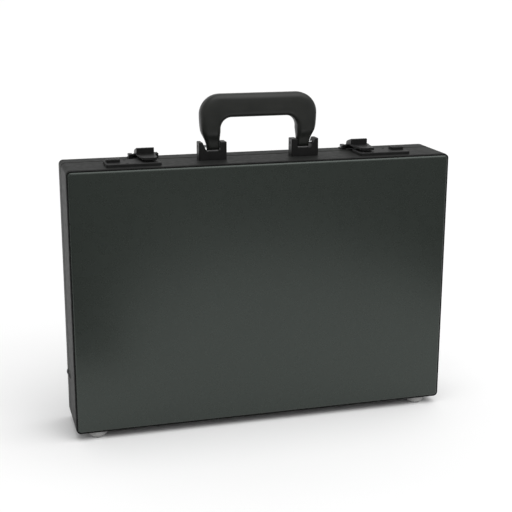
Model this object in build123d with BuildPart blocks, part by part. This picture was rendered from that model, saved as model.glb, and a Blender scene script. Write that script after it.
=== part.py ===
"""Attache case standing on its hinge side: framed body and lid, handle, latches, lid stays.

Millimetres. +Z is up, +X runs along the width, -Y is the front (the deeper body half).
The origin is on the floor, under the middle of the case.
"""

import os
from math import asin, cos, radians, sin

from build123d import *

os.makedirs("parts", exist_ok=True)

# ---------------------------------------------------------------- driving sizes
case_width = 457.0
case_height = 311.6
body_depth = 55.4
lid_depth = 26.2
corner_radius = 5.5
foot_height = 9.0

# frame band and its inner flange
wall = 2.0
frame_setback = 3.9
frame_edge_round = 0.9
flange_width = 8.0
flange_thickness = 2.0
flange_seat = 0.5
parting_gap = 2.2

# panels, boards and linings
panel_inset = 1.5
panel_rim = 3.2
panel_thickness = 1.5
panel_edge_radius = 2.8
panel_rim_width = 2.0
spigot_clearance = 0.2
seal_width = 1.1
seal_step = 1.3
board_thickness = 4.0
board_clearance = 0.3
lining_thickness = 1.2
lining_gap = 1.7
lining_start = 6.7
lining_rim_gap = 1.5
lining_lip_gap = 1.0

# closing lip around the parting line
lip_thickness = 1.0
lip_seat = 11.0
lip_reach = 6.0
lip_clearance = 0.3
lip_end_height = 26.0

# piano hinge under the parting line
hinge_end_margin = 48.5
knuckle_count = 9
knuckle_radius = 2.2
knuckle_gap = 0.4
hinge_pin_radius = 1.1
leaf_thickness = 1.0
leaf_width = 12.0
leaf_notch = 0.4
web_overlap = 0.9
barrel_drop = 0.2
hinge_rivet_count = 7
hinge_rivet_margin = 18.0

# fits and common fasteners
running_clearance = 0.05
snug_clearance = 0.02
rivet_radius = 1.2
rivet_head_radius = 2.1
rivet_head_height = 0.7
rivet_tail_radius = 1.8
rivet_tail_height = 0.6

# handle and its posts
handle_from_parting = 19.1
post_inner_x = 39.4
post_outer_x = 72.4
post_depth = 15.0
post_base = 9.9
post_height = 20.8
slot_inner_x = 46.3
slot_outer_x = 63.2
slot_flare = 5.0
post_edge_round = 0.8
handle_pivot_height = 15.5
handle_pin_radius = 1.5
eye_radius = 4.8
leg_inner_x = 46.9
leg_bottom_outer_x = 61.8
grip_outer_x = 70.0
grip_inner_x = 46.0
grip_top = 75.5
grip_underside = 48.6
grip_outer_radius = 24.0
grip_inner_radius = 13.0
grip_thickness = 20.0
grip_section_round = 0.34
bend_step = 15
# legs from the pivot upwards: how far the inner side moves in and up, the outer side moves
# out and up, and how much thicker the leg gets
leg_growth = (
    (0.0, 0.0, 0.0, 0.0, 0.0),
    (0.1, 6.3, 2.4, 7.1, 1.8),
    (0.5, 13.0, 6.6, 16.5, 8.2),
)
post_rivet_head_depth = 4.2
post_rivet_clear_depth = 4.0
pin_end_inset = 0.6
stiffener_thickness = 0.8
stiffener_width = 14.0
stiffener_overhang = 6.0
post_rivet_spacing = 20.0

# latches: a plate and a sliding button on the body, a hasp on a bracket on the lid
latch_from_side = 46.5
latch_length = 62.5
plate_reach = 44.6
plate_depth = 31.0
plate_rivet_end = 4.5
plate_rivet_edge = 4.0
plate_rivet_gap = 24.0
plate_height = 3.5
plate_skin = 1.0
plate_side = 1.5
plate_corner = 2.0
plate_edge_round = 0.8
hasp_from_plate_end = 12.0
button_from_plate_end = 9.8
button_width = 15.4
button_depth = 13.0
button_height = 3.0
button_from_parting = 24.1
button_rib_share = 0.6
button_rib_count = 4
button_rib_depth = 0.5
button_travel = 3.0
button_lift = 0.2
neck_size = 5.0
slot_clearance = 0.4
bolt_thickness = 1.0
bolt_floor = 1.3
bolt_width = 8.0
bolt_head = 4.0
bolt_head_clearance = 0.6
bolt_nose_inset = 1.5
window_width = 10.0
window_reach = 38.1
window_depth = 7.5
spring_radius = 0.85
spring_wire = 0.22
spring_length = 15.0
spring_pitch = 1.6
spring_from_parting = 34.6
spring_tab = 1.4
spring_tab_width = 4.0

# hasp and bracket
bracket_width = 35.0
bracket_ear = 5.0
bracket_from_parting = 5.4
bracket_depth = 14.4
bracket_ear_depth = 9.0
bracket_base = 1.0
bracket_height = 5.7
bracket_edge_round = 0.6
bracket_window_inset = 0.1
bracket_rivet_end = 2.6
bracket_rivet_edge = 2.7
hasp_pin_setback = 5.0
hasp_pin_overhang = 0.4
hasp_pin_height = 3.1
hasp_pin_radius = 1.3
hasp_knuckle_radius = 2.5
hasp_side_gap = 0.5
hump_width = 20.6
hump_length = 16.5
hump_height = 14.2
hump_crown = 0.2
hump_front_round = 2.0
hump_rear_height = 10.4
hump_rear_drop = 2.0
hump_edge_round = 0.7
hump_side_round = 0.5
tongue_top = 8.0
tongue_underside = 6.0
tongue_width = 21.0
tongue_root = 4.0
tongue_shoulder = 6.0
nose_width = 17.0
nose_reach = 30.5
nose_depth = 4.5
nose_underside = 5.2
nose_round = 3.0

# feet
body_foot_radius = 11.5
lid_foot_radius = 9.3
foot_from_side = 26.0
body_foot_from_face = 14.8
lid_foot_from_face = 14.6
foot_flat_radius = 5.5
foot_round_height = 5.0
foot_bulge = 0.9
foot_rivet_radius = 1.5
foot_counterbore_radius = 3.2
foot_counterbore_depth = 3.0
foot_rivet_head = 1.4
foot_rivet_head_gap = 0.4
foot_rivet_tail = 0.9
foot_rivet_tail_width = 1.0

# lid stays: two equal links whose four pivots keep a rhombus with the hinge axis
stay_radius = 58.0
stay_lid_angle = 13.0
stay_body_angle = -5.0
link_thickness = 1.5
link_width = 8.0
link_gap = 0.3
link_stand_off = 4.5
stay_journal_radius = 2.0
stay_shoulder_radius = 3.6
stay_head_radius = 3.2
stay_head_height = 0.8
stay_cap_radius = 4.5
stay_cap_height = 1.8
lip_hole_radius = 5.5
shoulder_gap = 0.2
stay_rivet_play = 0.1

# document pocket in the lid
pocket_side_margin = 38.5
pocket_top_margin = 96.6
pocket_base_margin = 25.0
pocket_thickness = 4.5
pocket_corner = 8.0

# ---------------------------------------------------------------- derived places
y_front = -(body_depth + lid_depth) / 2
y_parting = y_front + body_depth
y_rear = y_parting + lid_depth
z_bottom = foot_height
z_top = z_bottom + case_height
z_middle = (z_bottom + z_top) / 2
x_side = case_width / 2

hinge_length = case_width - 2 * hinge_end_margin
hinge_rivet_span = hinge_length - 2 * hinge_rivet_margin
hinge_y = y_parting
hinge_z = z_bottom - barrel_drop - knuckle_radius
hasp_pin_z = z_top + hasp_pin_height
handle_pin_z = z_top + handle_pivot_height
lining_inset = wall + lining_gap
link_body_outer_x = x_side - wall - link_stand_off
link_lid_outer_x = link_body_outer_x - link_thickness - link_gap
lining_walls = {
    "body": body_depth - lip_seat - lining_lip_gap,
    "lid": lid_depth - lining_rim_gap,
}

handle_y = y_parting - handle_from_parting
latch_outer_x = x_side - latch_from_side
latch_inner_x = latch_outer_x - latch_length
plate_front_y = y_parting - plate_reach
plate_rear_y = plate_front_y + plate_depth
button_x = latch_outer_x - button_from_plate_end
button_y = y_parting - button_from_parting
window_front_y = y_parting - window_reach
window_rear_y = window_front_y + window_depth
spring_y = y_parting - spring_from_parting
hasp_x = latch_inner_x + hasp_from_plate_end
bracket_front_y = y_parting + bracket_from_parting
bracket_rear_y = bracket_front_y + bracket_depth
bracket_ear_rear_y = bracket_front_y + bracket_ear_depth
hasp_pin_y = bracket_front_y + hasp_pin_setback
hump_front_y = hasp_pin_y - hump_length
nose_front_y = hump_front_y - nose_reach
nose_rear_y = nose_front_y + nose_depth
foot_x = x_side - foot_from_side
body_foot_y = y_front + body_foot_from_face
lid_foot_y = y_rear - lid_foot_from_face

# each half is built from its outer face inwards: face, direction inwards and depth
halves = {
    "body": (y_front, 1, body_depth),
    "lid": (y_rear, -1, lid_depth),
}


def stay_point(angle_deg):
    """Y and Z of a stay pivot at an angle from upright about the hinge axis."""
    angle = radians(angle_deg)
    return (hinge_y + stay_radius * sin(angle), hinge_z + stay_radius * cos(angle))


stay_on_lid = stay_point(stay_lid_angle)
stay_on_body = stay_point(stay_body_angle)
stay_middle = (
    stay_on_lid[0] + stay_on_body[0] - hinge_y,
    stay_on_lid[1] + stay_on_body[1] - hinge_z,
)


# ---------------------------------------------------------------- building helpers
def save(piece, name):
    """Label a finished piece and write it as one STEP file."""
    piece.label = name
    export_step(piece, f"parts/{name}.step")


def save_pair(piece, name):
    """Write a right-hand piece and its mirror image on the left."""
    save(piece, f"{name}_right")
    with BuildPart() as other:
        add(mirror(piece, about=Plane.YZ))
    save(other.part, f"{name}_left")


def slab(inset, y_a, y_b, mode=Mode.ADD):
    """A rounded rectangle, inset from the case's outline, between two depths."""
    y_far = max(y_a, y_b)
    plane = Plane(origin=(0, y_far, z_middle), x_dir=(1, 0, 0), z_dir=(0, -1, 0))
    with BuildSketch(plane) as outline:
        RectangleRounded(
            case_width - 2 * inset,
            case_height - 2 * inset,
            max(corner_radius - inset, 1.0),
        )
    extrude(outline.sketch, amount=abs(y_b - y_a), mode=mode)


def block(x_range, y_range, z_range, mode=Mode.ADD):
    """A box from its three pairs of limits."""
    size = [high - low for low, high in (x_range, y_range, z_range)]
    centre = [(low + high) / 2 for low, high in (x_range, y_range, z_range)]
    with Locations(tuple(centre)):
        Box(*size, mode=mode)


def rod_x(x_range, y, z, radius, mode=Mode.ADD):
    """A round bar along X."""
    with BuildSketch(Plane.YZ.offset(x_range[0])) as disc:
        with Locations((y, z)):
            Circle(radius)
    extrude(disc.sketch, amount=x_range[1] - x_range[0], mode=mode)


def rod_z(x, y, z_range, radius, mode=Mode.ADD):
    """A round bar along Z."""
    with BuildSketch(Plane.XY.offset(z_range[0])) as disc:
        with Locations((x, y)):
            Circle(radius)
    extrude(disc.sketch, amount=z_range[1] - z_range[0], mode=mode)


def profile_x(points, x_range, mode=Mode.ADD):
    """A polygon in the YZ plane, extruded along X."""
    with BuildSketch(Plane.YZ.offset(x_range[0])) as face:
        with BuildLine():
            Polyline(*points, close=True)
        make_face()
    extrude(face.sketch, amount=x_range[1] - x_range[0], mode=mode)


def cap_middle(radius, height):
    """Half-way point of a spherical cap's outline: distance from its axis and height over its rim."""
    sphere = (radius**2 + height**2) / (2 * height)
    half_angle = asin(radius / sphere) / 2
    return (sphere * sin(half_angle), height - sphere * (1 - cos(half_angle)))


def rivet_z(x, y, head_z, tail_z):
    """A rivet along Z: domed head on the outside at head_z, formed tail at tail_z."""
    outward = 1 if head_z > tail_z else -1
    profile_plane = Plane(origin=(x, y, 0), x_dir=(1, 0, 0), z_dir=(0, -1, 0))
    crown = head_z + outward * rivet_head_height
    tail_end = tail_z - outward * rivet_tail_height
    middle_radius, middle_height = cap_middle(rivet_head_radius, rivet_head_height)
    with BuildSketch(profile_plane) as section:
        with BuildLine():
            Line((0, crown), (0, tail_end))
            Line((0, tail_end), (rivet_tail_radius, tail_end))
            Line((rivet_tail_radius, tail_end), (rivet_tail_radius, tail_z))
            Line((rivet_tail_radius, tail_z), (rivet_radius, tail_z))
            Line((rivet_radius, tail_z), (rivet_radius, head_z))
            Line((rivet_radius, head_z), (rivet_head_radius, head_z))
            ThreePointArc(
                (rivet_head_radius, head_z),
                (middle_radius, head_z + outward * middle_height),
                (0, crown),
            )
        make_face()
    revolve(section.sketch, axis=Axis((x, y, 0), (0, 0, 1)))


def spaced(count, span):
    """Evenly spaced positions over a span, centred on zero."""
    return [span * (i / (count - 1) - 0.5) for i in range(count)]


# ---------------------------------------------------------------- fastener places
hinge_rivets_x = spaced(hinge_rivet_count, hinge_rivet_span)
hinge_rivet_y = {
    "body": hinge_y - knuckle_radius - (leaf_width - knuckle_radius) / 2,
    "lid": hinge_y + knuckle_radius + (leaf_width - knuckle_radius) / 2,
}
post_centre_x = (post_inner_x + post_outer_x) / 2
post_rivets_x = [post_centre_x - post_rivet_spacing / 2, post_centre_x + post_rivet_spacing / 2]
plate_rivets = [
    (x, y)
    for x in (latch_inner_x + plate_rivet_end, latch_outer_x - plate_rivet_gap)
    for y in (plate_front_y + plate_rivet_edge, plate_rear_y - plate_rivet_edge)
]
bracket_rivets = [
    (hasp_x + side * (bracket_width / 2 - bracket_rivet_end), bracket_rear_y - bracket_rivet_edge)
    for side in (-1, 1)
]
feet = {
    "body": (body_foot_y, body_foot_radius),
    "lid": (lid_foot_y, lid_foot_radius),
}


def cut_wall_holes(half):
    """Holes through a frame's band for everything riveted to it."""
    top = (z_top - wall - 1, z_top + 1)
    bottom = (z_bottom - 1, z_bottom + wall + 1)
    hole = rivet_radius + running_clearance
    foot_y, _ = feet[half]
    for side in (-1, 1):
        rod_z(side * foot_x, foot_y, bottom, foot_rivet_radius + running_clearance, Mode.SUBTRACT)
        pivot = stay_on_body if half == "body" else stay_on_lid
        x_low = min(side * (x_side - wall - 1), side * (x_side + 1))
        rod_x((x_low, x_low + wall + 2), *pivot, stay_journal_radius + running_clearance, Mode.SUBTRACT)
        if half == "body":
            for x in post_rivets_x:
                rod_z(side * x, handle_y, top, hole, Mode.SUBTRACT)
            for x, y in plate_rivets:
                rod_z(side * x, y, top, hole, Mode.SUBTRACT)
        else:
            for x, y in bracket_rivets:
                rod_z(side * x, y, top, hole, Mode.SUBTRACT)
    for x in hinge_rivets_x:
        rod_z(x, hinge_rivet_y[half], bottom, hole, Mode.SUBTRACT)


# ---------------------------------------------------------------- shells of both halves
for half, (face_y, inward, depth) in halves.items():
    edge_y = face_y + inward * (depth - parting_gap / 2)
    band_y = face_y + inward * frame_setback
    seat_y = band_y + inward * flange_seat
    flange_y = seat_y + inward * flange_thickness

    with BuildPart() as frame:
        slab(0, band_y, edge_y)
        fillet(frame.faces().sort_by(Axis.Y)[0].edges(), frame_edge_round)
        fillet(frame.faces().sort_by(Axis.Y)[-1].edges(), frame_edge_round)
        slab(wall, band_y - inward, seat_y, Mode.SUBTRACT)
        slab(wall + flange_width, band_y, edge_y, Mode.SUBTRACT)
        slab(wall, flange_y, edge_y + inward, Mode.SUBTRACT)
        cut_wall_holes(half)
    save(frame.part, f"{half}_frame")

    rim_y = face_y + inward * panel_rim
    spigot_y = seat_y - inward * snug_clearance
    with BuildPart() as panel:
        slab(panel_inset, face_y, rim_y)
        outer_face = panel.faces().sort_by(Axis.Y)[0 if inward > 0 else -1]
        fillet(outer_face.edges(), panel_edge_radius)
        slab(wall + spigot_clearance, rim_y - inward * snug_clearance, spigot_y)
        slab(
            panel_inset + panel_rim_width,
            face_y + inward * panel_thickness,
            spigot_y + inward,
            Mode.SUBTRACT,
        )
    save(panel.part, f"{half}_panel")

    with BuildPart() as seal:
        slab(panel_inset - seal_width, face_y + inward * seal_step, band_y)
        slab(panel_inset - snug_clearance, face_y, band_y + inward, Mode.SUBTRACT)
    save(seal.part, f"{half}_seal")

    board_y = face_y + inward * panel_thickness
    with BuildPart() as board:
        slab(wall + flange_width + board_clearance, board_y, board_y + inward * board_thickness)
    save(board.part, f"{half}_board")

    floor_y = face_y + inward * lining_start
    rim_end_y = face_y + inward * lining_walls[half]
    pivot = stay_on_body if half == "body" else stay_on_lid
    with BuildPart() as lining:
        slab(lining_inset, floor_y, rim_end_y)
        slab(
            lining_inset + lining_thickness,
            floor_y + inward * lining_thickness,
            rim_end_y + inward,
            Mode.SUBTRACT,
        )
        rod_x((-x_side, x_side), *pivot, stay_shoulder_radius + lip_clearance, Mode.SUBTRACT)
    save(lining.part, f"{half}_lining")

# ---------------------------------------------------------------- closing lip
lip_start_y = y_parting - lip_seat
lip_end_y = y_parting + lip_reach
with BuildPart() as closing_lip:
    slab(wall, lip_start_y, y_parting)
    slab(wall + lip_clearance, lip_start_y, lip_end_y)
    slab(wall + lip_clearance + lip_thickness, lip_start_y - 1, lip_end_y + 1, Mode.SUBTRACT)
    block(
        (-x_side, x_side),
        (lip_start_y - 1, lip_end_y + 1),
        (z_bottom, z_bottom + lip_end_height),
        Mode.SUBTRACT,
    )
    rod_x((-x_side, x_side), *stay_on_body, lip_hole_radius, Mode.SUBTRACT)
save(closing_lip.part, "closing_lip")

# ---------------------------------------------------------------- piano hinge
knuckle_pitch = hinge_length / knuckle_count
leaf_z = (z_bottom - leaf_thickness, z_bottom)
for half, side, first in (("body", -1, 0), ("lid", 1, 1)):
    leaf_edge = hinge_y + side * leaf_width
    leaf_clear = hinge_y + side * (knuckle_radius + leaf_notch)
    with BuildPart() as leaf:
        block(
            (-hinge_length / 2, hinge_length / 2),
            (min(leaf_edge, leaf_clear), max(leaf_edge, leaf_clear)),
            leaf_z,
        )
        for index in range(first, knuckle_count, 2):
            x_low = -hinge_length / 2 + index * knuckle_pitch + knuckle_gap / 2
            x_high = x_low + knuckle_pitch - knuckle_gap
            web_end = hinge_y + side * web_overlap
            rod_x((x_low, x_high), hinge_y, hinge_z, knuckle_radius)
            block(
                (x_low, x_high),
                (min(leaf_clear, web_end), max(leaf_clear, web_end)),
                leaf_z,
            )
        bore = hinge_pin_radius + (snug_clearance if half == "body" else running_clearance)
        rod_x((-x_side, x_side), hinge_y, hinge_z, bore, Mode.SUBTRACT)
        through = (leaf_z[0] - 1, leaf_z[1] + 1)
        for x in hinge_rivets_x:
            rod_z(x, hinge_rivet_y[half], through, rivet_radius + running_clearance, Mode.SUBTRACT)
    save(leaf.part, f"{half}_hinge_leaf")

    with BuildPart() as hinge_rivets:
        for x in hinge_rivets_x:
            rivet_z(x, hinge_rivet_y[half], leaf_z[0], z_bottom + wall)
    save(hinge_rivets.part, f"{half}_hinge_rivets")

with BuildPart() as hinge_pin:
    rod_x((-hinge_length / 2, hinge_length / 2), hinge_y, hinge_z, hinge_pin_radius)
save(hinge_pin.part, "hinge_pin")

# ---------------------------------------------------------------- feet
for half, (foot_y, foot_radius) in feet.items():
    run = foot_radius - foot_flat_radius
    slope = (run**2 + foot_round_height**2) ** 0.5
    bulge_point = (
        foot_flat_radius + run / 2 + foot_bulge * foot_round_height / slope,
        foot_round_height / 2 - foot_bulge * run / slope,
    )
    with BuildPart() as half_feet:
        for side in (-1, 1):
            x = side * foot_x
            with BuildSketch(Plane(origin=(x, foot_y, 0), x_dir=(1, 0, 0), z_dir=(0, -1, 0))) as dome:
                with BuildLine():
                    Line((0, 0), (foot_flat_radius, 0))
                    ThreePointArc((foot_flat_radius, 0), bulge_point, (foot_radius, foot_round_height))
                    Line((foot_radius, foot_round_height), (foot_radius, foot_height))
                    Line((foot_radius, foot_height), (0, foot_height))
                    Line((0, foot_height), (0, 0))
                make_face()
            revolve(dome.sketch, axis=Axis((x, foot_y, 0), (0, 0, 1)))
            rod_z(x, foot_y, (-1, foot_height + 1), foot_rivet_radius + running_clearance, Mode.SUBTRACT)
            rod_z(x, foot_y, (-1, foot_counterbore_depth), foot_counterbore_radius, Mode.SUBTRACT)
    save(half_feet.part, f"{half}_feet")

    with BuildPart() as foot_rivets:
        for side in (-1, 1):
            x = side * foot_x
            rod_z(x, foot_y, (foot_counterbore_depth, z_bottom + wall), foot_rivet_radius)
            rod_z(
                x,
                foot_y,
                (foot_counterbore_depth - foot_rivet_head, foot_counterbore_depth),
                foot_counterbore_radius - foot_rivet_head_gap,
            )
            rod_z(
                x,
                foot_y,
                (z_bottom + wall, z_bottom + wall + foot_rivet_tail),
                foot_rivet_radius + foot_rivet_tail_width,
            )
    save(foot_rivets.part, f"{half}_foot_rivets")

# ---------------------------------------------------------------- handle posts, pins and stiffener
post_y = (handle_y - post_depth / 2, handle_y + post_depth / 2)
with BuildPart() as handle_post:
    block((post_inner_x, post_outer_x), post_y, (z_top, z_top + post_height))
    fillet(handle_post.edges().filter_by(Axis.Z), post_edge_round * 2)
    fillet(handle_post.faces().sort_by(Axis.Z)[-1].edges(), post_edge_round)
    slot_plane = Plane(origin=(0, post_y[1] + 1, z_top), x_dir=(1, 0, 0), z_dir=(0, -1, 0))
    with BuildSketch(slot_plane) as slot:
        with BuildLine():
            Polyline(
                (slot_inner_x, post_base),
                (slot_outer_x, post_base),
                (slot_outer_x + slot_flare, post_height),
                (slot_outer_x + slot_flare, post_height + 1),
                (slot_inner_x, post_height + 1),
                close=True,
            )
        make_face()
    extrude(slot.sketch, amount=post_depth + 2, mode=Mode.SUBTRACT)
    pin_bore = handle_pin_radius + snug_clearance
    rod_x((post_inner_x - 1, post_outer_x + 1), handle_y, handle_pin_z, pin_bore, Mode.SUBTRACT)
    rivet_bore_z = (z_top - 1, z_top + post_base - post_rivet_clear_depth)
    for x in post_rivets_x:
        rod_z(x, handle_y, rivet_bore_z, rivet_radius + running_clearance, Mode.SUBTRACT)
save_pair(handle_post.part, "handle_post")

with BuildPart() as handle_pin:
    pin_ends = (post_inner_x + pin_end_inset, post_outer_x - pin_end_inset)
    rod_x(pin_ends, handle_y, handle_pin_z, handle_pin_radius)
save_pair(handle_pin.part, "handle_pin")

stiffener_x = post_outer_x + stiffener_overhang
stiffener_z = (z_top - wall - stiffener_thickness, z_top - wall)
with BuildPart() as handle_stiffener:
    block(
        (-stiffener_x, stiffener_x),
        (handle_y - stiffener_width / 2, handle_y + stiffener_width / 2),
        stiffener_z,
    )
    through = (stiffener_z[0] - 1, stiffener_z[1] + 1)
    for side in (-1, 1):
        for x in post_rivets_x:
            rod_z(side * x, handle_y, through, rivet_radius + running_clearance, Mode.SUBTRACT)
save(handle_stiffener.part, "handle_stiffener")

with BuildPart() as handle_post_rivets:
    for side in (-1, 1):
        for x in post_rivets_x:
            shank = (stiffener_z[0], z_top + post_base - post_rivet_head_depth)
            tail = (stiffener_z[0] - rivet_tail_height, stiffener_z[0])
            rod_z(side * x, handle_y, shank, rivet_radius)
            rod_z(side * x, handle_y, tail, rivet_tail_radius)
save(handle_post_rivets.part, "handle_post_rivets")


# ---------------------------------------------------------------- handle
def grip_section(inner, outer, thickness):
    """A rounded section across the grip, between an inner and an outer point in XZ."""
    (x_in, z_in), (x_out, z_out) = inner, outer
    across = Vector(x_out - x_in, 0, z_out - z_in)
    plane = Plane(
        origin=((x_in + x_out) / 2, handle_y, z_top + (z_in + z_out) / 2),
        x_dir=across.normalized(),
        z_dir=across.cross(Vector(0, 1, 0)).normalized(),
    )
    with BuildSketch(plane) as section:
        RectangleRounded(across.length, thickness, grip_section_round * min(across.length, thickness))
    return section.sketch


def grip_stations():
    """Inner point, outer point and thickness along the right half, from pivot to middle."""
    inner_centre = (grip_inner_x - grip_inner_radius, grip_underside - grip_inner_radius)
    outer_centre = (grip_outer_x - grip_outer_radius, grip_top - grip_outer_radius)
    stations = [
        (
            (leg_inner_x - inner_gain, handle_pivot_height + inner_rise),
            (leg_bottom_outer_x + outer_gain, handle_pivot_height + outer_rise),
            2 * eye_radius + thickening,
        )
        for inner_gain, inner_rise, outer_gain, outer_rise, thickening in leg_growth
    ]
    for angle_deg in range(0, 91, bend_step):
        angle = radians(angle_deg)
        inner = (
            inner_centre[0] + grip_inner_radius * cos(angle),
            inner_centre[1] + grip_inner_radius * sin(angle),
        )
        outer = (
            outer_centre[0] + grip_outer_radius * cos(angle),
            outer_centre[1] + grip_outer_radius * sin(angle),
        )
        stations.append((inner, outer, grip_thickness))
    stations.append(((0, grip_underside), (0, grip_top), grip_thickness))
    return stations


right_stations = grip_stations()
left_stations = [((-i[0], i[1]), (-o[0], o[1]), t) for i, o, t in right_stations[:-1]]
with BuildPart() as handle:
    sections = [grip_section(*station) for station in left_stations + right_stations[::-1]]
    loft(sections, ruled=True)
    for side in (-1, 1):
        ends = sorted((side * leg_inner_x, side * leg_bottom_outer_x))
        rod_x(ends, handle_y, handle_pin_z, eye_radius)
        bore_ends = (ends[0] - handle_pin_radius, ends[1] + handle_pin_radius)
        rod_x(bore_ends, handle_y, handle_pin_z, handle_pin_radius + running_clearance, Mode.SUBTRACT)
save(handle.part, "handle")

# ---------------------------------------------------------------- latch plate, bolt, button and spring
pocket_top = z_top + plate_height - plate_skin
neck_y = (button_y - neck_size / 2, button_y + neck_size / 2)
spring_start_x = button_x - button_width / 2 - spring_length
with BuildPart() as latch_plate:
    block((latch_inner_x, latch_outer_x), (plate_front_y, plate_rear_y), (z_top, z_top + plate_height))
    fillet(latch_plate.edges().filter_by(Axis.Z), plate_corner)
    fillet(latch_plate.faces().sort_by(Axis.Z)[-1].edges(), plate_edge_round)
    block(
        (latch_inner_x + plate_side, latch_outer_x - plate_side),
        (plate_front_y + plate_side, plate_rear_y - plate_side),
        (z_top, pocket_top),
        Mode.SUBTRACT,
    )
    block(
        (
            button_x - neck_size / 2 - slot_clearance,
            button_x + neck_size / 2 + button_travel + slot_clearance,
        ),
        (neck_y[0] - slot_clearance, neck_y[1] + slot_clearance),
        (pocket_top - 1, z_top + plate_height + 1),
        Mode.SUBTRACT,
    )
    block(
        (hasp_x - window_width / 2, hasp_x + window_width / 2),
        (window_front_y, window_rear_y),
        (pocket_top - 1, z_top + plate_height + 1),
        Mode.SUBTRACT,
    )
    block(
        (spring_start_x + spring_length, spring_start_x + spring_length + spring_tab),
        (spring_y - spring_tab_width / 2, spring_y + spring_tab_width / 2),
        (z_top, pocket_top),
    )
    for x, y in plate_rivets:
        rod_z(x, y, (z_top, z_top + plate_height + 1), rivet_radius + running_clearance, Mode.SUBTRACT)
save_pair(latch_plate.part, "latch_plate")

bolt_z = (z_top + bolt_floor, z_top + bolt_floor + bolt_thickness)
bolt_nose_x = hasp_x + window_width / 2 - bolt_head + bolt_head_clearance
with BuildPart() as latch_bolt:
    block(
        (bolt_nose_x, button_x + neck_size / 2 + 1),
        (button_y - bolt_width / 2, button_y + bolt_width / 2),
        bolt_z,
    )
    block((bolt_nose_x, bolt_nose_x + bolt_head), (window_front_y + bolt_nose_inset, button_y), bolt_z)
    block(
        (spring_start_x - spring_tab - snug_clearance, spring_start_x - snug_clearance),
        (spring_y - bolt_nose_inset, button_y),
        bolt_z,
    )
save_pair(latch_bolt.part, "latch_bolt")

cap_z = (z_top + plate_height + button_lift, z_top + plate_height + button_lift + button_height)
with BuildPart() as latch_button:
    block(
        (button_x - button_width / 2, button_x + button_width / 2),
        (button_y - button_depth / 2, button_y + button_depth / 2),
        cap_z,
    )
    fillet(latch_button.edges().filter_by(Axis.Z), plate_corner)
    fillet(latch_button.faces().sort_by(Axis.Z)[-1].edges(), plate_edge_round)
    for offset_x in spaced(button_rib_count, button_width * button_rib_share):
        block(
            (button_x + offset_x - button_rib_depth, button_x + offset_x + button_rib_depth),
            (button_y - button_depth / 2 - 1, button_y + button_depth / 2 + 1),
            (cap_z[1] - button_rib_depth, cap_z[1] + 1),
            Mode.SUBTRACT,
        )
    block(
        (button_x - neck_size / 2, button_x + neck_size / 2),
        neck_y,
        (bolt_z[1], cap_z[0]),
    )
save_pair(latch_button.part, "latch_button")

coil_path = Helix(
    pitch=spring_pitch,
    height=spring_length - 2 * spring_wire,
    radius=spring_radius,
    center=(spring_start_x + spring_wire, spring_y, (z_top + pocket_top) / 2),
    direction=(1, 0, 0),
)
with BuildPart() as latch_spring:
    with BuildSketch(Plane(origin=coil_path @ 0, z_dir=coil_path % 0)) as wire:
        Circle(spring_wire)
    sweep(wire.sketch, path=coil_path)
save_pair(latch_spring.part, "latch_spring")

with BuildPart() as latch_plate_rivets:
    for side in (-1, 1):
        for x, y in plate_rivets:
            rivet_z(side * x, y, z_top + plate_height, z_top - wall)
save(latch_plate_rivets.part, "latch_plate_rivets")

# ---------------------------------------------------------------- hasp bracket, pin and hasp
ear_outer = (hasp_x - bracket_width / 2, hasp_x + bracket_width / 2)
ear_inner = (ear_outer[0] + bracket_ear, ear_outer[1] - bracket_ear)
with BuildPart() as hasp_bracket:
    block(ear_outer, (bracket_front_y, bracket_rear_y), (z_top, z_top + bracket_base))
    for ear in ((ear_outer[0], ear_inner[0]), (ear_inner[1], ear_outer[1])):
        block(ear, (bracket_front_y, bracket_ear_rear_y), (z_top, z_top + bracket_height))
    fillet(hasp_bracket.faces().sort_by(Axis.Z)[-2:].edges(), bracket_edge_round)
    through = (z_top - 1, z_top + bracket_base + 1)
    block(ear_inner, (bracket_front_y - 1, bracket_ear_rear_y - bracket_window_inset), through, Mode.SUBTRACT)
    pin_bore = hasp_pin_radius + snug_clearance
    rod_x((ear_outer[0] - 1, ear_outer[1] + 1), hasp_pin_y, hasp_pin_z, pin_bore, Mode.SUBTRACT)
    for x, y in bracket_rivets:
        rod_z(x, y, through, rivet_radius + running_clearance, Mode.SUBTRACT)
save_pair(hasp_bracket.part, "hasp_bracket")

with BuildPart() as bracket_rivet_set:
    for side in (-1, 1):
        for x, y in bracket_rivets:
            rivet_z(side * x, y, z_top + bracket_base, z_top - wall)
save(bracket_rivet_set.part, "hasp_bracket_rivets")

with BuildPart() as hasp_pin:
    pin_ends = (ear_outer[0] - hasp_pin_overhang, ear_outer[1] + hasp_pin_overhang)
    rod_x(pin_ends, hasp_pin_y, hasp_pin_z, hasp_pin_radius)
save_pair(hasp_pin.part, "hasp_pin")

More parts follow.
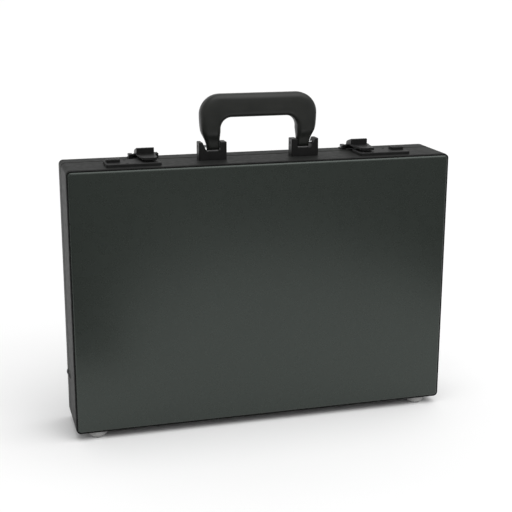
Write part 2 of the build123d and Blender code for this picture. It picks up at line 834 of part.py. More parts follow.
knuckle_x = (ear_inner[0] + hasp_side_gap, ear_inner[1] - hasp_side_gap)
hump_x = (hasp_x - hump_width / 2, hasp_x + hump_width / 2)
with BuildPart() as hasp:
    profile_x(
        [
            (hump_front_y, z_top + tongue_underside),
            (hump_front_y, z_top + hump_height),
            (hump_front_y + hump_front_round, z_top + hump_height + hump_crown),
            (hasp_pin_y - hump_rear_drop / 2, z_top + hump_rear_height),
            (hasp_pin_y + hasp_knuckle_radius - 1, z_top + hump_rear_height - hump_rear_drop),
            (hasp_pin_y + hasp_knuckle_radius, hasp_pin_z),
            (hasp_pin_y - hasp_knuckle_radius, hasp_pin_z),
            (hasp_pin_y - hasp_knuckle_radius - hump_rear_drop, z_top + tongue_underside),
        ],
        hump_x,
    )
    fillet(hasp.edges().filter_by(Axis.X).sort_by(Axis.Z)[-4:], hump_edge_round)
    fillet(hasp.faces().sort_by(Axis.X)[0].edges().sort_by(Axis.Z)[-3:], hump_side_round)
    fillet(hasp.faces().sort_by(Axis.X)[-1].edges().sort_by(Axis.Z)[-3:], hump_side_round)
    with BuildSketch(Plane.XY.offset(z_top + tongue_underside)) as tongue:
        with BuildLine():
            Polyline(
                (hasp_x - tongue_width / 2, hump_front_y + tongue_root),
                (hasp_x - tongue_width / 2, hump_front_y - tongue_shoulder),
                (hasp_x - nose_width / 2, nose_rear_y),
                (hasp_x - nose_width / 2, nose_front_y),
                (hasp_x + nose_width / 2, nose_front_y),
                (hasp_x + nose_width / 2, nose_rear_y),
                (hasp_x + tongue_width / 2, hump_front_y - tongue_shoulder),
                (hasp_x + tongue_width / 2, hump_front_y + tongue_root),
                close=True,
            )
        make_face()
    extrude(tongue.sketch, amount=tongue_top - tongue_underside)
    block(
        (hasp_x - nose_width / 2, hasp_x + nose_width / 2),
        (nose_front_y, nose_rear_y),
        (z_top + nose_underside, z_top + tongue_top),
    )
    nose_edges = hasp.edges().filter_by(Axis.Z).group_by(Axis.Y)[0]
    fillet(nose_edges, nose_round)
    rod_x(knuckle_x, hasp_pin_y, hasp_pin_z, hasp_knuckle_radius)
    rod_x(ear_outer, hasp_pin_y, hasp_pin_z, hasp_pin_radius + running_clearance, Mode.SUBTRACT)
save_pair(hasp.part, "hasp")

# ---------------------------------------------------------------- lid stays
link_body_x = (link_body_outer_x - link_thickness, link_body_outer_x)
link_lid_x = (link_lid_outer_x - link_thickness, link_lid_outer_x)


def stay_link(x_range, start, end, clear_end):
    """A flat link with round ends, bored at both pivots."""
    axis_y, axis_z = end[0] - start[0], end[1] - start[1]
    length = (axis_y**2 + axis_z**2) ** 0.5
    plane = Plane(origin=(x_range[0], *start), x_dir=(0, axis_y / length, axis_z / length), z_dir=(1, 0, 0))
    with BuildPart() as link:
        with BuildSketch(plane):
            with Locations((length / 2, 0)):
                SlotCenterToCenter(length, link_width)
            for centre, clearance in (((0, 0), running_clearance), ((length, 0), clear_end)):
                with Locations(centre):
                    Circle(stay_journal_radius + clearance, mode=Mode.SUBTRACT)
        extrude(amount=x_range[1] - x_range[0])
    return link.part


save_pair(stay_link(link_body_x, stay_on_body, stay_middle, snug_clearance), "stay_link_body")
save_pair(stay_link(link_lid_x, stay_on_lid, stay_middle, running_clearance), "stay_link_lid")

for half, pivot, link_x in (("body", stay_on_body, link_body_x), ("lid", stay_on_lid, link_lid_x)):
    with BuildPart() as stay_pivot:
        rod_x((link_x[0] - snug_clearance, x_side), *pivot, stay_journal_radius)
        rod_x((link_x[1] + shoulder_gap, x_side - wall), *pivot, stay_shoulder_radius)
        head_end = link_x[0] - snug_clearance
        rod_x((head_end - stay_head_height, head_end), *pivot, stay_head_radius)
        with BuildSketch(Plane(origin=(x_side, *pivot), x_dir=(1, 0, 0), z_dir=(0, -1, 0))) as cap:
            with BuildLine():
                Line((0, 0), (stay_cap_height, 0))
                ThreePointArc(
                    (stay_cap_height, 0),
                    cap_middle(stay_cap_radius, stay_cap_height)[::-1],
                    (0, stay_cap_radius),
                )
                Line((0, stay_cap_radius), (0, 0))
            make_face()
        revolve(cap.sketch, axis=Axis((x_side, *pivot), (1, 0, 0)))
    save_pair(stay_pivot.part, f"stay_pivot_{half}")

rivet_low_x = link_lid_x[0] - stay_rivet_play
rivet_high_x = link_body_x[1] + snug_clearance
with BuildPart() as stay_rivet:
    rod_x((rivet_low_x, rivet_high_x), *stay_middle, stay_journal_radius)
    rod_x((rivet_low_x - stay_head_height, rivet_low_x), *stay_middle, stay_head_radius)
    rod_x((rivet_high_x, rivet_high_x + stay_head_height), *stay_middle, stay_head_radius)
save_pair(stay_rivet.part, "stay_rivet")

# ---------------------------------------------------------------- document pocket
pocket_back_y = y_rear - lining_start - lining_thickness
pocket_half_width = x_side - pocket_side_margin
with BuildPart() as document_pocket:
    block(
        (-pocket_half_width, pocket_half_width),
        (pocket_back_y - pocket_thickness, pocket_back_y),
        (z_bottom + pocket_base_margin, z_top - pocket_top_margin),
    )
    fillet(document_pocket.edges().filter_by(Axis.Y), pocket_corner)
save(document_pocket.part, "document_pocket")
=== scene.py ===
"""Attache case: materials, moulded grip, latch springs, linings, pocket, plain studio and camera."""

from math import cos, exp, pi, radians, sin, sqrt

import bmesh
import bpy
from mathutils import Matrix, Vector, noise


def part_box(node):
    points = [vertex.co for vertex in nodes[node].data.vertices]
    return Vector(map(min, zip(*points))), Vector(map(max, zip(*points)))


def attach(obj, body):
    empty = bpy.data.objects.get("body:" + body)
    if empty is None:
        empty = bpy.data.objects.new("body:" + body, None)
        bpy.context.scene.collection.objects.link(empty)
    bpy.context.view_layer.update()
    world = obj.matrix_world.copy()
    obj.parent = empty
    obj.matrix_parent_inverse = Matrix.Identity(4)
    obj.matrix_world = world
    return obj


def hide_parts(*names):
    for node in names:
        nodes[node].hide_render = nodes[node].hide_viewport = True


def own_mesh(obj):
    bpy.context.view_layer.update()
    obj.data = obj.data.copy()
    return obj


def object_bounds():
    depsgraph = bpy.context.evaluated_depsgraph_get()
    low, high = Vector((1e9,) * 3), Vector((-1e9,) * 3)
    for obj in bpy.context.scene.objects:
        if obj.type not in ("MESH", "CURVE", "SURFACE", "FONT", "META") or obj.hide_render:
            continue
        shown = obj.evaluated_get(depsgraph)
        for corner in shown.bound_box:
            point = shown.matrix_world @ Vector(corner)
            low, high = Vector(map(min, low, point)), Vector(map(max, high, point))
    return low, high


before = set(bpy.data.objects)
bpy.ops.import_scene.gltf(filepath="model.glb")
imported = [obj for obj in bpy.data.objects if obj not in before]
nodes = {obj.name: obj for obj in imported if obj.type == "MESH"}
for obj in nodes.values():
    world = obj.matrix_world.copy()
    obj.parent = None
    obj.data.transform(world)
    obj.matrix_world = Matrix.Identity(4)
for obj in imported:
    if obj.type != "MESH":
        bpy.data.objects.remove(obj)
cad_low, cad_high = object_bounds()
MM = 0.001


# ------------------------------------------------------------------ materials
class Surface:
    """A node material being put together around one Principled shader."""

    def __init__(self, name, **sockets):
        self.material = bpy.data.materials.new(name)
        self.material.use_nodes = True
        self.tree = self.material.node_tree
        self.shader = self.tree.nodes["Principled BSDF"]
        self.place = self.add("ShaderNodeTexCoord").outputs["Object"]
        self.last_bump = None
        for socket, value in sockets.items():
            self.shader.inputs[socket.replace("_", " ")].default_value = value

    def add(self, kind, settings=None, **links):
        """A new node: settings are its properties, and links are sockets or values for its inputs."""
        made = self.tree.nodes.new(kind)
        for key, value in (settings or {}).items():
            setattr(made, key, value)
        for key, value in links.items():
            self.feed(made.inputs[key.replace("_", " ")], value)
        return made

    def feed(self, socket, value):
        if isinstance(value, bpy.types.NodeSocket):
            self.tree.links.new(value, socket)
        else:
            socket.default_value = value

    def stretched(self, scale):
        """Object coordinates in metres, scaled differently along each axis."""
        mapping = self.add("ShaderNodeMapping", Vector=self.place)
        mapping.inputs["Scale"].default_value = scale
        return mapping.outputs["Vector"]

    def noise(self, size_mm, detail=3.0, stretch=None, roughness=0.55):
        """Noise with features about size_mm across, from 0 to 1."""
        where = self.stretched(stretch) if stretch else self.place
        made = self.add("ShaderNodeTexNoise", Vector=where, Scale=1.0 / (size_mm * MM))
        made.inputs["Detail"].default_value = detail
        made.inputs["Roughness"].default_value = roughness
        return made.outputs["Fac"]

    def cells(self, size_mm):
        made = self.add("ShaderNodeTexVoronoi", Vector=self.place, Scale=1.0 / (size_mm * MM))
        return made.outputs["Distance"]

    def waves(self, size_mm, axis, distortion=0.0):
        """Parallel threads size_mm apart along one axis."""
        made = self.add(
            "ShaderNodeTexWave",
            {"bands_direction": axis},
            Vector=self.place,
            Scale=pi / 10.0 / (size_mm * MM),
            Distortion=distortion,
        )
        return made.outputs["Fac"]

    def span(self, source, low, high, out_low, out_high):
        """Maps source from low..high to out_low..out_high, clamped."""
        made = self.add("ShaderNodeMapRange", Value=source)
        ends = (("From Min", low), ("From Max", high), ("To Min", out_low), ("To Max", out_high))
        for key, value in ends:
            made.inputs[key].default_value = value
        return made.outputs["Result"]

    def math(self, operation, first, second):
        made = self.add("ShaderNodeMath", {"operation": operation})
        self.feed(made.inputs[0], first)
        self.feed(made.inputs[1], second)
        return made.outputs[0]

    def blend(self, factor, first, second):
        """The colour first where factor is 0, second where it is 1."""
        made = self.add("ShaderNodeMix", {"data_type": "RGBA"})
        self.feed(made.inputs[0], factor)
        for socket, value in ((made.inputs[6], first), (made.inputs[7], second)):
            self.feed(socket, value if isinstance(value, bpy.types.NodeSocket) else (*value, 1.0))
        return made.outputs[2]

    def edges(self, radius_mm, low=0.8, high=0.99):
        """1 on edges sharper than about radius_mm, 0 on flat ground."""
        bevel = self.add("ShaderNodeBevel", {"samples": 4}, Radius=radius_mm * MM)
        normal = self.add("ShaderNodeNewGeometry").outputs["Normal"]
        dot = self.add("ShaderNodeVectorMath", {"operation": "DOT_PRODUCT"})
        self.feed(dot.inputs[0], bevel.outputs["Normal"])
        self.feed(dot.inputs[1], normal)
        return self.span(dot.outputs["Value"], low, high, 1.0, 0.0)

    def colour(self, source):
        self.feed(self.shader.inputs["Base Color"], source)

    def roughness(self, source, low, high):
        self.feed(self.shader.inputs["Roughness"], self.span(source, 0.3, 0.7, low, high))

    def bump(self, height, depth_mm, strength=1.0):
        """Adds a relief of depth_mm on top of any bump already there."""
        made = self.add("ShaderNodeBump", Height=height, Distance=depth_mm * MM, Strength=strength)
        if self.last_bump is not None:
            self.feed(made.inputs["Normal"], self.last_bump)
        self.last_bump = made.outputs["Normal"]
        self.feed(self.shader.inputs["Normal"], self.last_bump)


def grey(value):
    return (value, value, value)


def frame_satin():
    """Charcoal anodised extrusion: bead-blasted grain, faint draw lines, and paler edges that are a painted
    highlight mixed with wear.
    """
    s = Surface("frame_satin", Metallic=0.05, Specular_IOR_Level=0.06)
    cloud = s.noise(38.0, 4.0)
    lines = s.noise(0.35, 2.0, (0.02, 1.0, 0.02))
    tone = s.blend(s.span(cloud, 0.35, 0.65, 0.0, 1.0), (0.019, 0.0195, 0.019), (0.024, 0.025, 0.0235))
    tone = s.blend(s.span(lines, 0.3, 0.75, 0.0, 0.35), tone, (0.029, 0.030, 0.029))
    # Paler colour on sharp edges, broken up by noise: a painted edge highlight mixed with wear.
    edge_highlight_and_wear = s.math("MULTIPLY", s.edges(0.7), s.span(s.noise(9.0, 5.0), 0.38, 0.62, 0.15, 0.75))
    s.colour(s.blend(edge_highlight_and_wear, tone, (0.045, 0.046, 0.045)))
    s.roughness(s.noise(6.0, 4.0), 0.42, 0.54)
    s.bump(s.noise(0.25, 2.0), 0.012)
    s.bump(lines, 0.01)
    return s.material


def panel_black():
    """Black coated sheet: fine stipple, a slightly uneven gloss, and paler edges that are a painted
    highlight mixed with wear.
    """
    s = Surface("panel_black", Specular_IOR_Level=0.62, Specular_Tint=(0.90, 1.0, 0.94, 1.0))
    cloud = s.noise(90.0, 1.0)
    speck = s.noise(0.8, 2.0)
    tone = s.blend(s.span(cloud, 0.2, 0.8, 0.0, 1.0), (0.0105, 0.0130, 0.0110), (0.0125, 0.0155, 0.0130))
    tone = s.blend(s.span(speck, 0.55, 0.8, 0.0, 0.5), tone, (0.0145, 0.0170, 0.0150))
    # Paler colour on sharp edges, broken up by noise: a painted edge highlight mixed with wear.
    edge_highlight_and_wear = s.math("MULTIPLY", s.edges(0.8), s.span(s.noise(14.0, 3.0), 0.45, 0.7, 0.0, 0.35))
    s.colour(s.blend(edge_highlight_and_wear, tone, (0.02, 0.022, 0.02)))
    s.roughness(s.noise(11.0, 3.0), 0.26, 0.29)
    s.bump(s.cells(0.7), 0.003)
    return s.material


def board():
    """Pressed hardboard with coarse fibres."""
    s = Surface("board", Roughness=0.8, Specular_IOR_Level=0.2)
    fibres = s.noise(1.6, 5.0, (0.35, 1.0, 1.0))
    s.colour(s.blend(s.span(fibres, 0.35, 0.65, 0.0, 1.0), (0.17, 0.11, 0.06), (0.31, 0.22, 0.13)))
    s.roughness(s.noise(4.0), 0.7, 0.9)
    s.bump(fibres, 0.15)
    return s.material


def cloth(name, dark, pale, thread_mm):
    """Woven cloth: two sets of threads, slub and a soft sheen."""
    s = Surface(name, Specular_IOR_Level=0.15, Sheen_Weight=0.35, Sheen_Roughness=0.5)
    warp = s.waves(thread_mm, "X", 0.6)
    weft = s.waves(thread_mm, "Z", 0.6)
    weave = s.math("MULTIPLY", warp, weft)
    slub = s.noise(2.2, 4.0, (1.0, 1.0, 0.3))
    tone = s.blend(s.span(weave, 0.1, 0.8, 0.0, 1.0), dark, pale)
    s.colour(s.blend(s.span(slub, 0.4, 0.7, 0.0, 0.4), tone, pale))
    s.roughness(slub, 0.78, 0.92)
    s.bump(weave, 0.12)
    s.bump(slub, 0.08)
    return s.material


def brushed_lining():
    """Short-pile cloth brushed in uneven patches."""
    s = Surface("lining", Specular_IOR_Level=0.12, Sheen_Weight=0.6, Sheen_Roughness=0.4)
    pile = s.noise(0.5, 3.0)
    patches = s.noise(42.0, 4.0, (1.0, 1.0, 0.6))
    tone = s.blend(s.span(pile, 0.35, 0.65, 0.0, 1.0), (0.03, 0.031, 0.034), (0.06, 0.061, 0.066))
    s.colour(s.blend(s.span(patches, 0.42, 0.6, 0.0, 0.5), tone, (0.07, 0.071, 0.077)))
    s.roughness(patches, 0.82, 0.95)
    s.bump(pile, 0.16)
    return s.material


def foot_grey():
    """Pale grey moulded feet with darker scuffs."""
    s = Surface("foot_grey", Specular_IOR_Level=0.35)
    scuff = s.noise(2.6, 6.0, (1.0, 1.0, 2.4))
    s.colour(s.blend(s.span(scuff, 0.48, 0.7, 0.0, 0.7), (0.31, 0.31, 0.305), (0.2, 0.195, 0.19)))
    s.roughness(s.noise(3.0), 0.45, 0.6)
    s.bump(s.noise(0.4, 2.0), 0.02)
    return s.material


def handle_grip():
    """Satin moulded plastic: fine leather-like grain and a slightly uneven tone and gloss."""
    s = Surface("handle_grip", Specular_IOR_Level=0.35)
    cloud = s.noise(22.0, 4.0)
    s.colour(s.blend(s.span(cloud, 0.35, 0.65, 0.0, 1.0), (0.0095, 0.0105, 0.009), (0.013, 0.014, 0.012)))
    s.roughness(cloud, 0.34, 0.46)
    s.bump(s.cells(0.9), 0.02)
    s.bump(s.noise(0.3, 2.0), 0.01)
    return s.material


def enamel(name, dark, pale, highlight_edge_colour, gloss):
    """Enamelled pressed steel, paler along its edges: a painted highlight mixed with wear."""
    s = Surface(name, Specular_IOR_Level=0.25)
    cloud = s.noise(7.0, 4.0)
    tone = s.blend(s.span(cloud, 0.35, 0.65, 0.0, 1.0), dark, pale)
    # Paler colour on sharp edges, broken up by noise: a painted edge highlight mixed with wear.
    edge_highlight_and_wear = s.math("MULTIPLY", s.edges(0.5), s.span(s.noise(3.2, 5.0), 0.46, 0.66, 0.0, 0.7))
    s.colour(s.blend(edge_highlight_and_wear, tone, highlight_edge_colour))
    s.roughness(s.noise(2.4, 4.0), gloss, gloss + 0.12)
    s.bump(s.noise(0.5, 3.0), 0.012)
    return s.material


def lip_black():
    """Matt black extruded lip with lengthwise die lines."""
    s = Surface("lip_black", Specular_IOR_Level=0.12)
    lines = s.noise(0.4, 2.0, (0.03, 1.0, 0.03))
    s.colour(s.blend(s.span(lines, 0.35, 0.65, 0.0, 1.0), grey(0.004), grey(0.008)))
    s.roughness(s.noise(5.0), 0.5, 0.65)
    s.bump(lines, 0.015)
    return s.material


def plated_steel():
    """Zinc-plated steel with brushed streaks and dull spots."""
    s = Surface("steel", Metallic=0.95, Specular_IOR_Level=0.5)
    streaks = s.noise(0.5, 3.0, (0.06, 1.0, 1.0))
    spots = s.noise(2.6, 5.0)
    tone = s.blend(s.span(streaks, 0.3, 0.7, 0.0, 1.0), (0.27, 0.275, 0.28), (0.4, 0.405, 0.41))
    s.colour(s.blend(s.span(spots, 0.52, 0.72, 0.0, 0.6), tone, (0.17, 0.165, 0.155)))
    s.roughness(spots, 0.28, 0.45)
    s.bump(streaks, 0.01)
    return s.material


def thread():
    """Twisted sewing thread."""
    s = Surface("thread", Specular_IOR_Level=0.2, Sheen_Weight=0.3)
    ply = s.waves(0.35, "DIAGONAL")
    s.colour(s.blend(ply, (0.05, 0.05, 0.052), (0.11, 0.11, 0.115)))
    s.roughness(s.noise(1.0), 0.6, 0.8)
    s.bump(ply, 0.06)
    return s.material


surfaces = {
    "frame_satin": frame_satin(),
    "panel_black": panel_black(),
    "board": board(),
    "lining": brushed_lining(),
    "pocket_fabric": cloth("pocket_fabric", (0.016, 0.016, 0.018), (0.055, 0.056, 0.061), 0.7),
    "foot_grey": foot_grey(),
    "handle_grip": handle_grip(),
    "hardware_black": enamel("hardware_black", grey(0.004), grey(0.007), grey(0.03), 0.34),
    "hardware_satin": enamel("hardware_satin", grey(0.0065), grey(0.010), (0.030, 0.030, 0.029), 0.42),
    "lip_black": lip_black(),
    "steel": plated_steel(),
    "thread": thread(),
}
for node in nodes.values():
    for entry in node.material_slots:
        entry.material = surfaces[entry.material.name.split(".")[0]]


# ------------------------------------------------------------------ mesh helpers
def finish_mesh(name, mesh, surface, body):
    """Turns a bmesh into a smooth object that rides on a body and takes a slot's finish."""
    bmesh.ops.recalc_face_normals(mesh, faces=mesh.faces)
    data = bpy.data.meshes.new(name)
    mesh.to_mesh(data)
    mesh.free()
    data.shade_smooth()
    made = bpy.data.objects.new(name, data)
    bpy.context.scene.collection.objects.link(made)
    data.materials.append(surfaces[surface])
    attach(made, body)
    return made


def skin(mesh, rings, cap_ends=True, closed=False):
    """Quads between neighbouring rings of points, each ring a closed loop."""
    loops = [[mesh.verts.new(point) for point in ring] for ring in rings]
    pairs = list(zip(loops, loops[1:]))
    if closed:
        pairs.append((loops[-1], loops[0]))
    for first, second in pairs:
        count = len(first)
        for i in range(count):
            j = (i + 1) % count
            mesh.faces.new((first[i], first[j], second[j], second[i]))
    if cap_ends and not closed:
        mesh.faces.new(loops[0])
        mesh.faces.new(loops[-1])
    return loops


def rounded_rectangle(width, height, radius, corner_steps=6, side_steps=1):
    """Points round a rectangle centred on the origin, with equal counts whatever its size."""
    radius = min(radius, width / 2 - 1e-6, height / 2 - 1e-6)
    half_w, half_h = width / 2 - radius, height / 2 - radius
    centres = ((half_w, half_h), (-half_w, half_h), (-half_w, -half_h), (half_w, -half_h))
    points = []
    for quarter, (cx, cy) in enumerate(centres):
        for step in range(corner_steps + 1):
            angle = pi / 2 * (quarter + step / corner_steps)
            points.append((cx + radius * cos(angle), cy + radius * sin(angle)))
        last = points[-1]
        nx, ny = centres[(quarter + 1) % 4]
        angle = pi / 2 * (quarter + 1)
        target = (nx + radius * cos(angle), ny + radius * sin(angle))
        for step in range(1, side_steps):
            f = step / side_steps
            points.append((last[0] + (target[0] - last[0]) * f, last[1] + (target[1] - last[1]) * f))
    return points


def tube(mesh, path, radius, sides=8, closed=False):
    """A round tube along points in a plane of constant Y."""
    rings = []
    count = len(path)
    for i, point in enumerate(path):
        before = path[(i - 1) % count] if closed else path[max(i - 1, 0)]
        after = path[(i + 1) % count] if closed else path[min(i + 1, count - 1)]
        along = (after - before).normalized()
        side = along.cross(Vector((0, 1, 0))).normalized()
        up = side.cross(along).normalized()
        turn = [2 * pi * k / sides for k in range(sides)]
        rings.append([point + side * (radius * cos(a)) + up * (radius * sin(a)) for a in turn])
    skin(mesh, rings, closed=closed)


# ------------------------------------------------------------------ moulded grip
eye_low, eye_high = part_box("handle")
grip_y = (eye_low.y + eye_high.y) / 2
case_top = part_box("body_frame")[1].z
pivot_height = 15.5  # the grip's own sizes are in mm, measured from the case's middle and top
eye_radius = 4.8
grip_inner = (46.0, 48.6, 13.0)  # leg's inner face, underside and the radius between them
grip_outer = (70.0, 75.5, 24.0)  # leg's outer face, top and the radius between them
grip_thickness = 20.0
edge_share = 0.34  # corner radius as a share of a section's smaller side
eye_steps = 6
eye_close = 6.4  # steps in a quarter turn, a little more than are made, so that the end stays open
bend_step = 6  # degrees
leg_steps = 6  # stations between two given ones
leg_stations = [  # inner and outer (across, up) points in mm, and the thickness
    ((46.9, 15.5), (61.8, 15.5), 9.6),
    ((46.8, 21.8), (64.2, 22.6), 11.4),
    ((46.4, 28.5), (68.4, 32.0), 17.8),
    ((46.0, 32.5), (69.7, 42.0), 19.6),
]


def corner_station(angle):
    """Inner point, outer point and thickness on the grip's bend."""
    inner, outer = [
        (x - r + r * cos(angle), z - r + r * sin(angle)) for x, z, r in (grip_inner, grip_outer)
    ]
    return inner, outer, grip_thickness


def flat_numbers(station):
    (a, b), (c, d), thickness = station
    return [a, b, c, d, thickness]


def catmull(p0, p1, p2, p3, t):
    return [
        0.5 * (2 * b + (c - a) * t + (2 * a - 5 * b + 4 * c - d) * t * t + (3 * b - a - 3 * c + d) * t**3)
        for a, b, c, d in zip(p0, p1, p2, p3)
    ]


def half_grip():
    """Stations from the end of the eye, up the leg and round the bend to the middle."""
    stations = []
    eye = leg_stations[0]
    for step in range(eye_steps, 0, -1):  # rounded end below the pin
        angle = pi / 2 * step / eye_close
        drop = eye_radius * sin(angle)
        stations.append(
            [eye[0][0], pivot_height - drop, eye[1][0], pivot_height - drop, 2 * eye_radius * cos(angle)]
        )
    bend = [flat_numbers(corner_station(radians(a))) for a in range(0, 91, bend_step)]
    legs = [flat_numbers(s) for s in leg_stations] + [bend[0]]
    padded_legs = [legs[0]] + legs + [bend[1]]
    for i in range(len(legs) - 1):
        for step in range(leg_steps):
            stations.append(catmull(*padded_legs[i : i + 4], step / leg_steps))
    stations += bend
    for f in (0.2, 0.4, 0.6, 0.8, 1.0):  # straight span to the middle
        inner_x, outer_x = bend[-1][0] * (1 - f), bend[-1][2] * (1 - f)
        stations.append([inner_x, grip_inner[1], outer_x, grip_outer[1], grip_thickness])
    return stations


def grip_ring(station, side):
    """A rounded section in metres, on the left (-1) or right (1) half."""
    x_in, z_in, x_out, z_out, thickness = station
    width = sqrt((x_out - x_in) ** 2 + (z_out - z_in) ** 2)
    radius = edge_share * min(width, thickness)
    ring = []
    for u, v in rounded_rectangle(width, thickness, radius, 5, 3):
        f = u / width + 0.5
        x, z = x_in + (x_out - x_in) * f, z_in + (z_out - z_in) * f
        ring.append(Vector((side * x * MM, grip_y + v * MM, case_top + z * MM)))
    return ring


grip_half = half_grip()
grip_rings = [grip_ring(s, -1) for s in grip_half] + [grip_ring(s, 1) for s in grip_half[-2::-1]]
grip_mesh = bmesh.new()
skin(grip_mesh, grip_rings)
grip = finish_mesh("handle_moulding", grip_mesh, "handle_grip", "handle")
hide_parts("handle")


# ------------------------------------------------------------------ latch springs
for side, sign in (("left", -1), ("right", 1)):
    coil_node = nodes[f"latch_spring_{side}"]
    coil = bpy.data.objects.new(f"latch_coil_{side}", coil_node.data.copy())
    coil.matrix_world = coil_node.matrix_world.copy()
    bpy.context.scene.collection.objects.link(coil)
    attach(coil, "body")
    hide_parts(f"latch_spring_{side}")
    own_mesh(coil)


# ------------------------------------------------------------------ linings
wall_cloth = 1.2 * MM
tray_corner = 6 * MM
least_corner = 1.5 * MM
tray_foot = 4 * MM  # radius where the walls meet the floor
foot_steps = 6
rim_turn = 0.4 * MM
seam_inset = 14 * MM
seam_depth = 0.5 * MM
seam_width = 0.8 * MM
crown_reach = 9 * MM
wall_ripple = 0.1 * MM
floor_ripple = 0.25 * MM
ripple_pitch = 30  # waves of unevenness per metre
ripple_offset = 7  # where in the noise each half's cloth is taken from
floor_insets = (9, 12.5, 13.4, 14, 14.6, 15.5, 18, 24, 34, 50, 75, 105, 130)  # mm, closest at the seam
piping_inset = 0.6 * MM
piping_lift = 0.3 * MM
piping_radius = 0.7 * MM


def lining(half, inward, crown):
    """A cloth-covered foam tray: walls, a rounded foot, a sewn seam and a slightly raised floor."""
    low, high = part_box(f"{half}_lining")
    base = low.y if inward > 0 else high.y
    rim = high.y if inward > 0 else low.y
    width, height = high.x - low.x, high.z - low.z
    middle = Vector(((low.x + high.x) / 2, 0, (low.z + high.z) / 2))

    def ring(inset, y, ripple=0.0):
        points = []
        radius = max(tray_corner - inset, least_corner)
        for x, z in rounded_rectangle(width - 2 * inset, height - 2 * inset, radius, 5, 22):
            where = Vector((x * ripple_pitch, inward * ripple_offset, z * ripple_pitch))
            offset = ripple * noise.noise(where)
            points.append(Vector((middle.x + x, y + inward * offset, middle.z + z)))
        return points

    floor = base + inward * wall_cloth
    rings = [ring(0.3 * MM, base), ring(0, base + inward * 0.3 * MM)]
    rings += [ring(0, base + (rim - base) * f) for f in (0.3, 0.65, 0.97)]
    rings += [ring(0.35 * MM, rim), ring(0.85 * MM, rim), ring(wall_cloth, rim - inward * rim_turn)]
    rings += [ring(wall_cloth, floor + (rim - floor) * f, wall_ripple) for f in (0.7, 0.45)]
    for step in range(foot_steps):
        angle = pi / 2 * step / (foot_steps - 1)
        inset = wall_cloth + tray_foot * (1 - cos(angle))
        rings.append(ring(inset, floor + inward * tray_foot * (1 - sin(angle))))
    for inset in floor_insets:
        gap = inset * MM - seam_inset
        rise = crown * (1 - exp(-max(gap, 0) / crown_reach))
        groove = seam_depth * exp(-((gap / seam_width) ** 2))
        ripple = floor_ripple if gap > 0 else wall_ripple
        rings.append(ring(inset * MM, floor + inward * (rise - groove), ripple))
    mesh = bmesh.new()
    skin(mesh, rings)
    made = finish_mesh(f"{half}_lining_cloth", mesh, "lining", half)
    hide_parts(f"{half}_lining")

    path = [p + Vector((0, -inward * piping_lift, 0)) for p in ring(piping_inset, rim)]
    piping = bmesh.new()
    tube(piping, path, piping_radius, closed=True)
    finish_mesh(f"{half}_lining_piping", piping, "pocket_fabric", half)


body_crown = 1.4 * MM
lining("body", 1, body_crown)
lining("lid", -1, 0.0)


# ------------------------------------------------------------------ document pocket
pocket_low, pocket_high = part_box("document_pocket")
pocket_w = pocket_high.x - pocket_low.x
pocket_h = pocket_high.z - pocket_low.z
cloth_gap = 0.45 * MM
gather_width = 17 * MM
gather_depth = 1.0 * MM
gather_rise = 1.6  # how fast the gathers grow from the foot to the hem
gather_share = 0.6  # of the depth, taken by each fold
fold_wander = 0.9
fold_wander_pitch = 31
fine_fold_share = 0.35
fine_fold_width = gather_width * 0.43
belly = 1.7 * MM
side_hold = 16 * MM
foot_hold = 22 * MM
pocket_thickness = 0.4 * MM
hem_height = 9 * MM
hem_profile = (  # share of the way down the hem, then Y and Z offsets in mm
    (0, -0.55, -0.3),
    (0, 0.0, 0.35),
    (0, 0.4, -0.3),
    (1, 0.4, 0),
    (1, -0.4, -0.2),
    (0.5, -0.75, 0),
)


def pocket_point(u, v):
    """A point of the pocket's face; u and v run from 0 to 1 along its width and height."""
    x = pocket_low.x + u * pocket_w
    z = pocket_low.z + v * pocket_h
    side = min(u, 1 - u) * pocket_w
    held = (1 - exp(-side / side_hold)) * (1 - exp(-v * pocket_h / foot_hold))
    swell = belly * held
    wander = fold_wander * sin(x * fold_wander_pitch)
    fold = sin(2 * pi * x / gather_width + wander) + fine_fold_share * sin(2 * pi * x / fine_fold_width)
    gather = gather_depth * held * v**gather_rise * fold * gather_share
    return Vector((x, pocket_high.y - cloth_gap - swell - gather_depth * held - gather, z))


columns, rows = 260, 40
pocket_mesh = bmesh.new()
grid = [
    [pocket_mesh.verts.new(pocket_point(i / columns, j / rows)) for i in range(columns + 1)]
    for j in range(rows + 1)
]
for j in range(rows):
    for i in range(columns):
        pocket_mesh.faces.new((grid[j][i], grid[j][i + 1], grid[j + 1][i + 1], grid[j + 1][i]))
pocket = finish_mesh("pocket_cloth", pocket_mesh, "pocket_fabric", "lid")
thickness = pocket.modifiers.new("thickness", "SOLIDIFY")
thickness.thickness = pocket_thickness
thickness.offset = 0.0
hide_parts("document_pocket")

hem = bmesh.new()
hem_rings = []
for i in range(columns + 1):
    u = i / columns
    top = pocket_point(u, 1.0)
    bottom = pocket_point(u, 1.0 - hem_height / pocket_h)
    hem_rings.append([top.lerp(bottom, share) + Vector((0, y * MM, z * MM)) for share, y, z in hem_profile])
skin(hem, hem_rings)
hem_piece = finish_mesh("pocket_hem", hem, "pocket_fabric", "lid")

stitches = bmesh.new()
stitch_length = 2.6 * MM
stitch_pitch = 4.2 * MM
stitch_radius = 0.22 * MM
stitch_inset = 3 * MM
stitch_lift = 0.3 * MM  # of the stitch ends off the cloth
stitch_bow = 0.12 * MM  # of a stitch's middle past its ends
stitch_sides = 6
side_row_stop = 3.2  # insets that the side rows stay below the hem


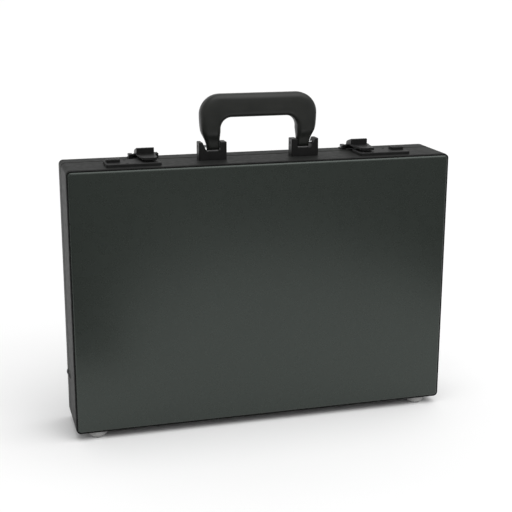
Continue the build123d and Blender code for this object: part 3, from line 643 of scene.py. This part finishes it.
def stitch_run(start, end):
    """A row of stitches on the pocket between two (u, v) places."""
    length = sqrt(((end[0] - start[0]) * pocket_w) ** 2 + ((end[1] - start[1]) * pocket_h) ** 2)
    count = int(length / stitch_pitch)
    for i in range(count):
        ends = []
        for f in (i / count, i / count + stitch_length / length):
            u = start[0] + (end[0] - start[0]) * f
            v = start[1] + (end[1] - start[1]) * f
            ends.append(pocket_point(u, v) + Vector((0, -stitch_lift, 0)))
        middle = (ends[0] + ends[1]) / 2 + Vector((0, -stitch_bow, 0))
        tube(stitches, [ends[0], middle, ends[1]], stitch_radius, stitch_sides)


inset_u, inset_v = stitch_inset / pocket_w, stitch_inset / pocket_h
stitch_run((inset_u, inset_v), (1 - inset_u, inset_v))
for u in (inset_u, 1 - inset_u):
    stitch_run((u, inset_v), (u, 1 - side_row_stop * inset_v))
stitch_piece = finish_mesh("pocket_stitches", stitches, "thread", "lid")


# ------------------------------------------------------------------ studio
def stage_mesh(name, points, faces, material):
    data = bpy.data.meshes.new(name)
    data.from_pydata(points, [], faces)
    made = bpy.data.objects.new(name, data)
    bpy.context.scene.collection.objects.link(made)
    data.materials.append(material)
    return made


floor_surface = Surface("floor_paper", Roughness=0.85, Specular_IOR_Level=0.1)
floor_surface.colour(
    floor_surface.blend(floor_surface.noise(300.0, 3.0), (0.9, 0.9, 0.9), (0.93, 0.93, 0.93))
)
floor_reach = 60.0
floor_sides = 64
floor_turns = [2 * pi * i / floor_sides for i in range(floor_sides)]
floor_ring = [(floor_reach * cos(a), floor_reach * sin(a), 0) for a in floor_turns]
stage_mesh("floor", floor_ring, [list(range(floor_sides))], floor_surface.material)

# A black flag with an oval opening keeps the far floor out of the front panel's reflection.
flag_surface = Surface("flag_cloth", Roughness=1.0, Specular_IOR_Level=0.0)
flag_surface.colour(flag_surface.blend(flag_surface.noise(5.0), (0.16, 0.165, 0.16), (0.18, 0.185, 0.18)))
opening_centre = (0.17, -0.30)
opening_half = (0.30, 0.55)
flag_reach = 4.0
flag_height = 2 * MM
flag_points, flag_faces = [], []
for i in range(floor_sides + 1):
    angle = pi + pi * i / floor_sides
    across, ahead = cos(angle), sin(angle)
    rim_x = opening_centre[0] + opening_half[0] * across
    rim_y = opening_centre[1] + opening_half[1] * ahead
    flag_points.append((rim_x, rim_y, flag_height))
    flag_points.append((flag_reach * across, opening_centre[1] + flag_reach * ahead, flag_height))
    if i:
        k = 2 * i
        flag_faces.append((k - 2, k - 1, k + 1, k))
flag = stage_mesh("flag", flag_points, flag_faces, flag_surface.material)
for ray in ("camera", "diffuse", "transmission", "volume_scatter", "shadow"):
    setattr(flag, f"visible_{ray}", False)

world = bpy.data.worlds.new("studio")
world.use_nodes = True
backdrop = world.node_tree.nodes["Background"]
backdrop.inputs["Color"].default_value = (1.0, 1.0, 1.0, 1.0)
backdrop.inputs["Strength"].default_value = 0.6
bpy.context.scene.world = world


def lamp(name, kind, energy, place, target, **settings):
    data = bpy.data.lights.new(name, kind)
    data.energy = energy
    for key, value in settings.items():
        setattr(data, key, value)
    made = bpy.data.objects.new(name, data)
    made.location = place
    made.rotation_euler = (Vector(target) - Vector(place)).to_track_quat("-Z", "Y").to_euler()
    bpy.context.scene.collection.objects.link(made)
    return made


case_middle = (cad_low + cad_high) / 2
lamp("key", "SUN", 1.75, (0.6, -0.8, 3.0), case_middle, angle=radians(70))
lamp("front_fill", "AREA", 4.0, (0.7, -1.6, 1.5), case_middle, size=1.2)

bpy.context.scene.view_settings.view_transform = "Standard"


# ------------------------------------------------------------------ camera
camera_place = (-0.35047, -1.24315, 0.54424)
camera_yaw = radians(-15.71)
camera_pitch = radians(90 - 14.97)
camera_roll = radians(0.15)
camera = bpy.data.objects.new("camera", bpy.data.cameras.new("camera"))
camera.data.sensor_width = 36.0
camera.data.lens = 77.76
camera.data.clip_end = 200.0
turn = Matrix.Rotation(camera_yaw, 4, "Z") @ Matrix.Rotation(camera_pitch, 4, "X")
camera.matrix_world = Matrix.Translation(camera_place) @ turn @ Matrix.Rotation(camera_roll, 4, "Z")
bpy.context.scene.collection.objects.link(camera)
bpy.context.scene.camera = camera
